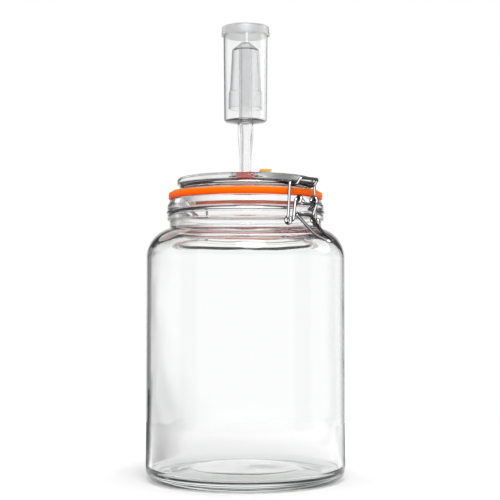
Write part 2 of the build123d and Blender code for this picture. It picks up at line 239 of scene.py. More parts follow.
class SurfaceBoard(Board):
    """A material under construction, with one Principled shader."""

    def __init__(self, name: str) -> None:
        """Starts a material with an empty tree."""
        self.material = bpy.data.materials.new(name)
        self.material.use_nodes = True
        super().__init__(self.material.node_tree)
        self.tree.nodes.clear()
        self.place = self.out("ShaderNodeTexCoord", None, None, "Object")
        self.surface = self.node("ShaderNodeBsdfPrincipled")
        self.output = self.node("ShaderNodeOutputMaterial", None,
                                {"Surface": self.surface.outputs[0]})

    def stretched(self, rise: float) -> Signal:
        """The place on the piece, with its height scaled."""
        return self.out("ShaderNodeMapping", None,
                        {"Vector": self.place, "Scale": (1.0, 1.0, rise)})

    def edge(self, start: float, end: float) -> Signal:
        """How far a face is turned away, from 0 at a start to 1 at an end."""
        return self.out("ShaderNodeLayerWeight", None, {"Blend": 0.5}, "Facing").ease(start, end)

    def outer(self) -> Signal:
        """1 on a turned piece's outer side and 0 elsewhere."""
        return self.out("ShaderNodeAttribute", {"attribute_name": Lathe.OUTER}, None, "Fac")

    def bump(self, height: Signal, depth: float) -> None:
        """Gives the surface small relief, which is so many metres deep."""
        relief = self.out("ShaderNodeBump", None,
                          {"Height": height, "Distance": depth, "Strength": 1.0})
        self.feed(self.surface.inputs["Normal"], relief)

    def set(self, **values: Any) -> None:
        """Sets or feeds sockets of the shader, with underscores for the spaces in their names."""
        for name, value in values.items():
            self.feed(self.surface.inputs[name.replace("_", " ")], value)


@dataclass(frozen=True)
class PressedGlass:
    """Clear glass from a mould, with the slow waves that a mould leaves and painted shade at its
    outer edges.
    """

    name: str
    tint: Colour = colour(0.99, 0.993, 0.991)
    # Painted shade: the colour that the outer faces turn to as they turn away, for the dark outline
    # of glass in a studio.
    edge_shade: Colour = colour(0.1, 0.115, 0.11)
    edge_start: float = 0.69
    edge_end: float = 0.89
    refraction: float = 1.5
    wave_scale: float = 18.0
    wave_stretch: float = 0.45
    wave_depth: float = 0.00015
    body_colour: Colour = colour(0.55, 0.62, 0.6)
    body_density: float = 3.0

    def make(self) -> bpy.types.Material:
        """Makes the material."""
        board = SurfaceBoard(self.name)
        waves = board.noise(self.wave_scale, PLAIN_NOISE, board.stretched(self.wave_stretch))
        # Painted shade: the outer faces darken in their base colour as they turn away from view.
        edge = board.edge(self.edge_start, self.edge_end) * board.outer()
        board.set(
            Base_Color=board.blend(edge, self.tint, self.edge_shade),
            Roughness=0.0,
            IOR=self.refraction,
            Transmission_Weight=1.0,
        )
        board.bump(waves, self.wave_depth)
        depth = board.node("ShaderNodeVolumeAbsorption", None,
                           {"Color": self.body_colour, "Density": self.body_density})
        board.feed(board.output.inputs["Volume"], depth.outputs[0])
        return board.material


@dataclass(frozen=True)
class MouldedPlastic:
    """Clear moulded plastic with faint flow lines, a little haze and painted shade at its outer
    edges.
    """

    name: str
    tint: Colour = colour(0.975, 0.978, 0.98)
    # Painted shade: the colour that the outer faces turn to as they turn away from view.
    edge_shade: Colour = colour(0.12, 0.13, 0.135)
    edge_start: float = 0.55
    edge_end: float = 0.84
    clear_share: float = 0.965
    refraction: float = 1.45
    haze: float = 0.012
    dust_haze: float = 0.016
    dust_scale: float = 160.0
    flow_scale: float = 40.0
    flow_stretch: float = 0.2
    flow_depth: float = 0.00005

    def make(self) -> bpy.types.Material:
        """Makes the material."""
        board = SurfaceBoard(self.name)
        flow = board.noise(self.flow_scale, PLAIN_NOISE, board.stretched(self.flow_stretch))
        dust = board.noise(self.dust_scale, RICH_NOISE)
        # Painted shade: the outer faces darken in their base colour as they turn away from view.
        edge = board.edge(self.edge_start, self.edge_end) * board.outer()
        board.set(
            Base_Color=board.blend(edge, self.tint, self.edge_shade),
            Roughness=self.haze + self.dust_haze * dust,
            IOR=self.refraction,
            Transmission_Weight=self.clear_share,
        )
        board.bump(flow, self.flow_depth)
        return board.material


@dataclass(frozen=True)
class MilkyPlastic:
    """Translucent white plastic, as a push-on cap is moulded in."""

    name: str
    shade: Colour = colour(0.97, 0.972, 0.975)
    cloud_shade: Colour = colour(0.93, 0.933, 0.936)
    cloud_scale: float = 70.0
    clear_share: float = 0.8
    refraction: float = 1.5
    roughness: float = 0.2
    grain_roughness: float = 0.12
    grain_scale: float = 900.0
    grain_depth: float = 0.00003
    milk_share: float = 0.15
    milk_depth: float = 0.004

    def make(self) -> bpy.types.Material:
        """Makes the material."""
        board = SurfaceBoard(self.name)
        cloud = board.noise(self.cloud_scale, RICH_NOISE)
        grain = board.noise(self.grain_scale)
        board.set(
            Base_Color=board.blend(cloud, self.cloud_shade, self.shade),
            Roughness=self.roughness + self.grain_roughness * grain,
            IOR=self.refraction,
            Transmission_Weight=self.clear_share,
            Subsurface_Weight=self.milk_share,
            Subsurface_Scale=self.milk_depth,
        )
        board.bump(grain, self.grain_depth)
        return board.material


@dataclass(frozen=True)
class SoftRubber:
    """Moulded rubber with a satin skin, a little light scattered in its depth, a faint painted glow
    and a dusting of fine pores.

    Its colour goes from deep to bright between two heights, painted light that makes its top
    lighter, and to the tip's lighter painted-light colour beyond a radius. Both are in metres.
    """

    name: str
    deep: Colour
    bright: Colour
    bright_from: float
    bright_to: float
    tip: Colour | None = None
    tip_start: float = 0.011
    tip_end: float = 0.014
    # Painted light: how strongly the rubber glows in its own colour.
    painted_glow: float = 0.08
    refraction: float = 1.5
    sheen: float = 0.06
    roughness: float = 0.34
    cloud_roughness: float = 0.16
    cloud_scale: float = 45.0
    pore_scale: float = 2600.0
    pore_depth: float = 0.00004
    soft_share: float = 0.2
    soft_depth: float = 0.002
    soft_spread: tuple[float, float, float] = (1.0, 0.35, 0.15)

    def make(self) -> bpy.types.Material:
        """Makes the material."""
        board = SurfaceBoard(self.name)
        cloud = board.noise(self.cloud_scale, RICH_NOISE)
        pores = board.noise(self.pore_scale, RICH_NOISE)
        # Painted light: the colour is lighter towards the top, and beyond a radius it turns to the
        # tip's lighter colour.
        height = board.parts(board.place)[2]
        rise = (height + (cloud - 0.5) * MM).ease(self.bright_from, self.bright_to)
        shade = board.blend(rise, self.deep, self.bright)
        if self.tip is not None:
            flat = board.out("ShaderNodeVectorMath", {"operation": "MULTIPLY"},
                             {0: board.place, 1: (1.0, 1.0, 0.0)})
            reach = board.length(flat).ease(self.tip_start, self.tip_end)
            shade = board.blend(reach, shade, self.tip)
        board.set(
            Base_Color=shade,
            Roughness=self.roughness + self.cloud_roughness * cloud,
            IOR=self.refraction,
            Specular_IOR_Level=self.sheen,
            Subsurface_Weight=self.soft_share,
            Subsurface_Scale=self.soft_depth,
            Subsurface_Radius=self.soft_spread,
            # Painted light: the rubber glows faintly in its own colour.
            Emission_Color=shade,
            Emission_Strength=self.painted_glow,
        )
        board.bump(pores, self.pore_depth)
        return board.material


@dataclass(frozen=True)
class BrightWire:
    """Plated steel wire with drawing marks, a slightly dulled skin and painted dark reflection at
    its edges.
    """

    name: str
    shade: Colour = colour(0.93, 0.93, 0.94)
    dull: Colour = colour(0.74, 0.74, 0.75)
    # Painted reflection: the dark colour that the wire's faces turn to as they turn away from view.
    edge: Colour = colour(0.05, 0.05, 0.055)
    edge_start: float = 0.05
    edge_end: float = 0.3
    stain_scale: float = 160.0
    stain_start: float = 0.45
    stain_end: float = 0.75
    mark_scale: float = 1500.0
    mark_depth: float = 0.00001
    roughness: float = 0.07
    mark_roughness: float = 0.1

    def make(self) -> bpy.types.Material:
        """Makes the material."""
        board = SurfaceBoard(self.name)
        marks = board.noise(self.mark_scale)
        stain = board.noise(self.stain_scale, RICH_NOISE)
        skin = board.blend(stain.ease(self.stain_start, self.stain_end), self.shade, self.dull)
        # Painted reflection: the wire's colour turns dark as its faces turn away from view.
        board.set(
            Base_Color=board.blend(board.edge(self.edge_start, self.edge_end), skin, self.edge),
            Metallic=1.0,
            Roughness=self.roughness + self.mark_roughness * marks * stain,
        )
        board.bump(marks, self.mark_depth)
        return board.material


def evaluated_mesh(piece: bpy.types.Object) -> bpy.types.Mesh:
    """The mesh that a piece's modifiers make."""
    bpy.context.view_layer.update()
    graph = bpy.context.evaluated_depsgraph_get()
    return bpy.data.meshes.new_from_object(piece.evaluated_get(graph), depsgraph=graph)


def add_object(name: str, data: bpy.types.ID) -> bpy.types.Object:
    """Puts a mesh, curve, lamp or camera into the scene."""
    made = bpy.data.objects.new(name, data)
    bpy.context.scene.collection.objects.link(made)
    return made


class ShapeBoard(Board):
    """A Geometry Nodes tree under construction, with named inputs."""

    def __init__(self, name: str, inputs: dict[str, str]) -> None:
        """Starts a tree.

        Args:
            name: The tree's name.
            inputs: The type of each named input's socket.
        """
        tree = bpy.data.node_groups.new(name, "GeometryNodeTree")
        super().__init__(tree)
        tree.interface.new_socket("Geometry", in_out="INPUT", socket_type="NodeSocketGeometry")
        tree.interface.new_socket("Geometry", in_out="OUTPUT", socket_type="NodeSocketGeometry")
        self.keys = {
            label: tree.interface.new_socket(label, in_out="INPUT", socket_type=kind).identifier
            for label, kind in inputs.items()
        }
        self.given = self.node("NodeGroupInput")
        self.result = self.node("NodeGroupOutput")

    def value(self, label: str) -> Signal:
        """One of the tree's inputs."""
        return Signal(self, self.given.outputs[label])

    def shape(self, kind: str, settings: Settings = None,
              sockets: Sockets = None) -> bpy.types.NodeSocket:
        """Adds a node and gives the geometry that it makes."""
        return self.node(kind, settings, sockets).outputs[0]

    def close(self, made: bpy.types.NodeSocket) -> None:
        """Ends the tree with smooth faces, real geometry and a material."""
        smooth = self.shape("GeometryNodeSetShadeSmooth", None, {"Geometry": made})
        real = self.shape("GeometryNodeRealizeInstances", None, {"Geometry": smooth})
        dressed = self.shape("GeometryNodeSetMaterial", None,
                             {"Geometry": real, "Material": self.value("Material")})
        self.feed(self.result.inputs[0], dressed)

    def run(self, name: str, source: bpy.types.ID, **values: Any) -> bpy.types.Object:
        """Runs the tree on a mesh or curve and keeps the result as a plain mesh.

        Args:
            name: The new piece's name.
            source: The mesh or curve that it starts from.
            values: The tree's inputs, with underscores for the spaces in their names.

        Returns:
            The finished piece.
        """
        start = add_object(name + "_start", source)
        modifier = start.modifiers.new(self.tree.name, "NODES")
        modifier.node_group = self.tree
        for label, value in values.items():
            modifier[self.keys[label.replace("_", " ")]] = value
        mesh = evaluated_mesh(start)
        start.modifiers.remove(modifier)
        bpy.data.objects.remove(start)
        mesh.name = name
        return add_object(name, mesh)


class Lathe(ShapeBoard):
    """Turns a profile about the Z axis, keeps its marks, and ripples the parts marked for it."""

    RIPPLE: ClassVar[str] = "ripple"
    OUTER: ClassVar[str] = "outer"
    MERGE_WITHIN: ClassVar[float] = MM / 1000

    def __init__(self) -> None:
        """Builds the tree."""
        super().__init__("turned_form", {
            "Segments": "NodeSocketInt",
            "Ripple Depth": "NodeSocketFloat",
            "Ripple Scale": "NodeSocketFloat",
            "Material": "NodeSocketMaterial",
        })
        profile = self.given.outputs["Geometry"]
        columns = self.value("Segments") + 1
        count = self.out("GeometryNodeAttributeDomainSize", None,
                         {"Geometry": profile}, "Point Count")
        grid = self.shape("GeometryNodeMeshGrid", None,
                          {"Vertices X": count, "Vertices Y": columns})
        index = self.out("GeometryNodeInputIndex")
        row = ((index + 0.5) / columns).floor()
        angle = (index - row * columns) * FULL_TURN / self.value("Segments")
        spot = self.out("GeometryNodeSampleIndex", {"data_type": "FLOAT_VECTOR"}, {
            "Geometry": profile,
            "Value": self.out("GeometryNodeInputPosition"),
            "Index": row,
        })
        radius, _, height = self.parts(spot)
        place = self.out("ShaderNodeCombineXYZ", None,
                         {0: radius * angle.cosine(), 1: radius * angle.sine(), 2: height})
        turned = self.shape("GeometryNodeSetPosition", None, {"Geometry": grid, "Position": place})
        for name in (self.OUTER, self.RIPPLE):
            mark = self.mark(name)
            give = self.out("GeometryNodeSampleIndex", {"data_type": "FLOAT"},
                            {"Geometry": profile, "Value": mark, "Index": row})
            turned = self.shape("GeometryNodeStoreNamedAttribute", {"data_type": "FLOAT"},
                                {"Geometry": turned, "Name": name, "Value": give})
        closed = self.shape("GeometryNodeMergeByDistance", None,
                            {"Geometry": turned, "Distance": self.MERGE_WITHIN})
        noise = self.noise(self.value("Ripple Scale"), PLAIN_NOISE)
        lift = (noise - 0.5) * 2 * self.value("Ripple Depth") * self.mark(self.RIPPLE)
        offset = self.out("ShaderNodeVectorMath", {"operation": "SCALE"},
                          {"Vector": self.out("GeometryNodeInputNormal"), "Scale": lift})
        rippled = self.shape("GeometryNodeSetPosition", None,
                             {"Geometry": closed, "Offset": offset})
        self.close(self.shape("GeometryNodeFlipFaces", None, {0: rippled}))

    def mark(self, name: str) -> Signal:
        """One of the marks that the profile carries."""
        return self.out("GeometryNodeInputNamedAttribute", {"data_type": "FLOAT"}, {"Name": name})


class WireBender(ShapeBoard):
    """Sweeps a round section along paths."""

    def __init__(self) -> None:
        """Builds the tree."""
        super().__init__("bent_wire", {
            "Wire Radius": "NodeSocketFloat",
            "Sides": "NodeSocketInt",
            "Material": "NodeSocketMaterial",
        })
        section = self.shape("GeometryNodeCurvePrimitiveCircle", None,
                             {"Resolution": self.value("Sides"),
                              "Radius": self.value("Wire Radius")})
        tube = self.shape("GeometryNodeCurveToMesh", None, {
            "Curve": self.given.outputs["Geometry"],
            "Profile Curve": section,
            "Fill Caps": True,
        })
        self.close(tube)


class HolePunch(ShapeBoard):
    """Cuts a ring of round holes through a piece, along Z."""

    HOLE_SIDES: ClassVar[int] = 24

    def __init__(self) -> None:
        """Builds the tree."""
        super().__init__("ring_of_holes", {
            "Count": "NodeSocketInt",
            "Ring Radius": "NodeSocketFloat",
            "Hole Radius": "NodeSocketFloat",
            "Height": "NodeSocketFloat",
            "Depth": "NodeSocketFloat",
            "Material": "NodeSocketMaterial",
        })
        ring = self.shape("GeometryNodeMeshCircle", None,
                          {"Vertices": self.value("Count"), "Radius": self.value("Ring Radius")})
        half_step = math.pi / self.value("Count")
        turn = self.out("ShaderNodeCombineXYZ", None, {0: 0.0, 1: 0.0, 2: half_step})
        lift = self.out("ShaderNodeCombineXYZ", None, {0: 0.0, 1: 0.0, 2: self.value("Height")})
        placed = self.shape("GeometryNodeTransform", None,
                            {"Geometry": ring, "Translation": lift, "Rotation": turn})
        cutter = self.shape("GeometryNodeMeshCylinder", None, {
            "Vertices": self.HOLE_SIDES,
            "Radius": self.value("Hole Radius"),
            "Depth": self.value("Depth"),
        })
        cutters = self.shape("GeometryNodeInstanceOnPoints", None,
                             {"Points": placed, "Instance": cutter})
        real = self.shape("GeometryNodeRealizeInstances", None, {"Geometry": cutters})
        cut = self.node("GeometryNodeMeshBoolean", {"operation": "DIFFERENCE", "solver": "EXACT"})
        self.feed(cut.inputs["Mesh 1"], self.given.outputs["Geometry"])
        self.feed(cut.inputs["Mesh 2"], real)
        self.close(cut.outputs[0])


Corner = tuple[float, float, float]
Bend = tuple[Vector, float]
Wires = list[tuple[list[Vector], bool]]


@dataclass
class Outline:
    """A profile of straight runs and tangent arcs. Each corner is (radius, height, rounding)."""

    corners: Sequence[Corner]
    closed: bool = True
    arc_step: float = math.radians(7)
    longest_run: float = 6.0

    def points(self) -> list[tuple[float, float]]:
        """The points along the profile."""
        spots = bend_corners([(Vector((r, 0, z)), rounding) for r, z, rounding in self.corners],
                             self.closed, self.arc_step)
        if self.closed:
            spots.append(spots[0].copy())
        made: list[tuple[float, float]] = []
        for start, end in zip(spots, spots[1:]):
            pieces = max(1, math.ceil((end - start).length / self.longest_run))
            for index in range(pieces):
                spot = start.lerp(end, index / pieces)
                made.append((spot.x, spot.z))
        made.append((spots[-1].x, spots[-1].z))
        return made


def bend_corners(corners: Sequence[Bend], closed: bool, arc_step: float) -> list[Vector]:
    """Rounds the corners of a path with tangent arcs.

    Args:
        corners: Each corner's place and rounding.
        closed: Whether the last corner runs on to the first.
        arc_step: The largest turn between two points of an arc.

    Returns:
        The points of the rounded path.
    """
    made: list[Vector] = []
    count = len(corners)
    for index, (corner, rounding) in enumerate(corners):
        is_end = not closed and index in (0, count - 1)
        if rounding == 0 or is_end:
            made.append(corner.copy())
            continue
        back = (corners[index - 1][0] - corner).normalized()
        ahead = (corners[(index + 1) % count][0] - corner).normalized()
        half = back.angle(ahead) / 2
        turn = math.pi - 2 * half
        reach = rounding / math.tan(half)
        centre = corner + (back + ahead).normalized() * (rounding / math.sin(half))
        start = corner + back * reach - centre
        axis = back.cross(ahead)
        steps = max(2, math.ceil(turn / arc_step))
        for step in range(steps + 1):
            spin = Matrix.Rotation(-turn * step / steps, 3, axis)
            made.append(centre + spin @ start)
    return made


@dataclass
class WirePath:
    """The middle line of a bent wire, in millimetres."""

    arc_step: float = math.radians(12)
    ring_step: float = math.radians(3)

    def __post_init__(self) -> None:
        """Starts with no corners."""
        self.corners: list[Bend] = []

    def to(self, x: float, y: float, z: float, bend: float = 0.0) -> "WirePath":
        """Runs on to a corner, with the radius of the bend there, and gives the path itself."""
        self.corners.append((Vector((x, y, z)), bend))
        return self

    def round_axis(self, radius: float, height: float, start: float, end: float) -> "WirePath":
        """Runs on round the Z axis.

        Args:
            radius: The arc's radius.
            height: Its height.
            start: The angle where it starts, in degrees.
            end: The angle where it ends.

        Returns:
            The path itself.
        """
        steps = max(2, math.ceil(math.radians(abs(end - start)) / self.ring_step))
        for step in range(steps + 1):
            angle = math.radians(start + (end - start) * step / steps)
            self.to(radius * math.cos(angle), radius * math.sin(angle), height)
        return self

    def coil(self, centre: Vector, radius: float, start: float, turn: float,
             drift: float = 0.0) -> "WirePath":
        """Winds round a line along X.

        Args:
            centre: A point on that line, where the winding starts.
            radius: The winding's radius.
            start: The angle where it starts, in degrees from +Y towards +Z.
            turn: How far it winds, in degrees.
            drift: How far it moves along X meanwhile.

        Returns:
            The path itself.
        """
        steps = math.ceil(math.radians(abs(turn)) / self.arc_step)
        for step in range(steps + 1):
            share = step / steps
            angle = math.radians(start + turn * share)
            self.to(centre.x + drift * share, centre.y + radius * math.cos(angle),
                    centre.z + radius * math.sin(angle))
        return self

    def mirrored(self) -> "WirePath":
        """Runs on through this path's own mirror image in the YZ plane."""
        for spot, bend in reversed(list(self.corners)):
            self.corners.append((Vector((-spot.x, spot.y, spot.z)), bend))
        return self

    def points(self, closed: bool = False) -> list[Vector]:
        """The points along the rounded path."""
        return bend_corners(self.corners, closed, self.arc_step)


@dataclass(frozen=True)
class Ripple:
    """Soft waves of a turned piece, within a radius and between two heights. Depth is in metres."""

    depth: float = 0.0
    scale: float = 1.0
    radius: float = -1.0
    low: float = 0.0
    high: float = 0.0

    def holds(self, radius: float, height: float) -> bool:
        """Whether a point of the profile ripples."""
        return radius <= self.radius and self.low <= height <= self.high


@dataclass
class Workshop:
    """The tools that shape pieces, shared by the sub-assemblies."""

    segments: int = 192
    wire_sides: int = 20
    sharp_angle: float = math.radians(38)
    wire_sharp_angle: float = math.radians(60)
    foot_share: float = 0.04

    def __post_init__(self) -> None:
        """Builds the three trees."""
        self.lathe = Lathe()
        self.bender = WireBender()
        self.punch = HolePunch()

    def turned(self, name: str, outline: Outline, material: bpy.types.Material,
               ripple: Ripple = Ripple(), outer_from: float = 0.0) -> bpy.types.Object:
        """Turns a piece.

        Args:
            name: The piece's name.
            outline: Its profile, in millimetres.
            material: Its finish.
            ripple: The waves on part of it.
            outer_from: The radius from which the outline counts as outer.

        Returns:
            The piece.
        """
        points = outline.points()
        mesh = bpy.data.meshes.new(name + "_profile")
        mesh.from_pydata([(r * MM, 0.0, z * MM) for r, z in points],
                         [(index, index + 1) for index in range(len(points) - 1)], [])
        rim = max(range(len(points)), key=lambda index: points[index][1])
        low = min(z for _, z in points)
        foot = low + (points[rim][1] - low) * self.foot_share
        marks = {
            Lathe.OUTER: [float(index <= rim and z > foot and r >= outer_from)
                          for index, (r, z) in enumerate(points)],
            Lathe.RIPPLE: [float(ripple.holds(r, z)) for r, z in points],
        }
        for mark, values in marks.items():
            mesh.attributes.new(mark, "FLOAT", "POINT").data.foreach_set("value", values)
        piece = self.lathe.run(name, mesh, Segments=self.segments, Ripple_Depth=ripple.depth,
                               Ripple_Scale=ripple.scale, Material=material)
        left = piece.data.attributes.get(Lathe.RIPPLE)
        if left is not None:
            piece.data.attributes.remove(left)
        piece.data.set_sharp_from_angle(angle=self.sharp_angle)
        return piece

    def bent(self, name: str, paths: Wires, wire_radius: float,
             material: bpy.types.Material) -> bpy.types.Object:
        """Bends a piece from wire.

        Args:
            name: The piece's name.
            paths: Each wire's points, in millimetres, and whether it is closed.
            wire_radius: The wire's radius.
            material: Its finish.

        Returns:
            The piece.
        """
        curve = bpy.data.curves.new(name + "_path", "CURVE")
        curve.dimensions = "3D"
        for points, closed in paths:
            spline = curve.splines.new("POLY")
            spline.points.add(len(points) - 1)
            for spot, point in zip(spline.points, points):
                spot.co = (*(point * MM), 1.0)
            spline.use_cyclic_u = closed
        piece = self.bender.run(name, curve, Wire_Radius=wire_radius * MM, Sides=self.wire_sides,
                                Material=material)
        piece.data.set_sharp_from_angle(angle=self.wire_sharp_angle)
        return piece


def hand_over(piece: bpy.types.Object, body: Body, slot: Slot, *nodes: str) -> None:
    """Ties a finished piece to its body and hides the nodes that it stands for.

    Args:
        piece: The finished piece.
        body: The body that it moves with.
        slot: The material slot that its finish belongs to. Not used.
        nodes: The nodes that it stands for.
    """
    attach(piece, body.value)
    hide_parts(*nodes)
    log.info("%s: %d faces, rides on %s", piece.name, len(piece.data.polygons), body.value)


def top_of(node: str) -> float:
    """The height of a node's highest point, in millimetres."""
    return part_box(node)[1].z / MM


def base_of(node: str) -> float:
    """The height of a node's lowest point, in millimetres."""
    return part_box(node)[0].z / MM


def radius_of(node: str) -> float:
    """Half of a node's width along X, in millimetres."""
    low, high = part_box(node)
    return (high.x - low.x) / 2 / MM


@dataclass
class GlassJar:
    """The glass jar: thick pushed-up base, straight wall, round shoulder and a ringed neck."""

    wall: float = 4.5
    base_corner: float = 8.0
    foot_width: float = 11.0
    push_up_height: float = 5.0
    push_up_flank: float = 16.0
    push_up_rounding: float = 12.0
    floor_thickness: float = 5.0
    floor_corner: float = 5.0
    shoulder_height: float = 199.5
    shoulder_rounding: float = 24.0
    shoulder_glass: float = 8.5
    shoulder_inner_rounding: float = 17.0
    neck_radius: float = 60.7
    neck_crease: float = 1.2
    mouth_radius: float = 54.0
    mouth_rounding: float = 1.5
    throat_rounding: float = 3.3
    rib_height: float = 205.0
    rib_width: float = 4.6
    ring_depth: float = 1.8
    ring_rounding: float = 0.8
    bead_height: float = 213.4
    bead_width: float = 3.4
    rim_inset: float = 0.6
    rim_rounding: float = 1.4
    floor_wave: float = 0.0003
    floor_wave_scale: float = 30.0
    shoulder_steps: int = 18
    arc_step: float = math.radians(6)

    def outline(self) -> Outline:
        """The jar's whole profile, from under its middle, up outside and down inside."""
        radius = radius_of("glass_jar")
        rim = top_of("jar_neck")
        ring_radius = self.neck_radius + self.ring_depth
        groove = self.rib_height + self.rib_width
        half_rounding = self.ring_rounding / 2
        foot_inner = radius - self.base_corner - self.foot_width
        flank = foot_inner - self.push_up_flank
        floor = self.push_up_height + self.floor_thickness
        floor_sink = self.push_up_height * self.floor_thickness
        floor_edge = floor - floor_sink / (self.floor_thickness + self.wall)
        ceiling = self.shoulder_height - self.shoulder_glass
        drop = self.shoulder_rounding - math.sqrt(
            self.shoulder_rounding ** 2 - (self.neck_radius - radius + self.shoulder_rounding) ** 2)
        shoulder_end = self.shoulder_height - drop
        shoulder = self.shoulder_points(radius, shoulder_end)
        return Outline([
            (0, self.push_up_height, 0),
            (flank, self.push_up_height, self.push_up_rounding),
            (foot_inner, 0, self.push_up_rounding),
            (radius, 0, self.base_corner),
            *shoulder,
            (self.neck_radius, shoulder_end, self.neck_crease),
            (self.neck_radius, self.rib_height, half_rounding),
            (ring_radius, self.rib_height, self.ring_rounding),
            (ring_radius, groove, self.ring_rounding),
            (self.neck_radius, groove, half_rounding),
            (self.neck_radius, self.bead_height, half_rounding),
            (ring_radius, self.bead_height, self.ring_rounding),
            (ring_radius, self.bead_height + self.bead_width, self.ring_rounding),
            (self.neck_radius - self.rim_inset, rim, self.rim_rounding),
            (self.mouth_radius, rim, self.mouth_rounding),
            (self.mouth_radius, ceiling, self.throat_rounding),
            (radius - self.wall, ceiling, self.shoulder_inner_rounding),
            (radius - self.wall, floor_edge, self.floor_corner),
            (foot_inner, floor_edge, self.push_up_rounding),
            (flank, floor, self.push_up_rounding),
            (0, floor, 0),
        ], closed=False, arc_step=self.arc_step)

    def shoulder_points(self, radius: float, end: float) -> list[Corner]:
        """Points of the round shoulder, up to where the neck leaves it.

        Args:
            radius: The jar's outer radius.
            end: The height where the neck leaves the shoulder.

        Returns:
            The shoulder's points.
        """
        centre_r = radius - self.shoulder_rounding
        centre_z = self.shoulder_height - self.shoulder_rounding
        last = math.asin((end - centre_z) / self.shoulder_rounding)
        turns = [last * step / self.shoulder_steps for step in range(self.shoulder_steps)]
        return [(centre_r + self.shoulder_rounding * math.cos(turn),
                 centre_z + self.shoulder_rounding * math.sin(turn), 0) for turn in turns]

    def build(self, shop: Workshop) -> None:
        """Makes and dresses the jar."""
        glass = PressedGlass("jar_glass").make()
        ripple = Ripple(
            depth=self.floor_wave,
            scale=self.floor_wave_scale,
            radius=radius_of("glass_jar") - self.wall / 2,
            low=self.push_up_height + self.floor_thickness / 4,
            high=self.shoulder_height - self.shoulder_glass / 2,
        )
        jar = shop.turned("jar_vessel", self.outline(), glass, ripple)
        hand_over(jar, Body.JAR, Slot.JAR_GLASS, "glass_jar", "jar_neck")


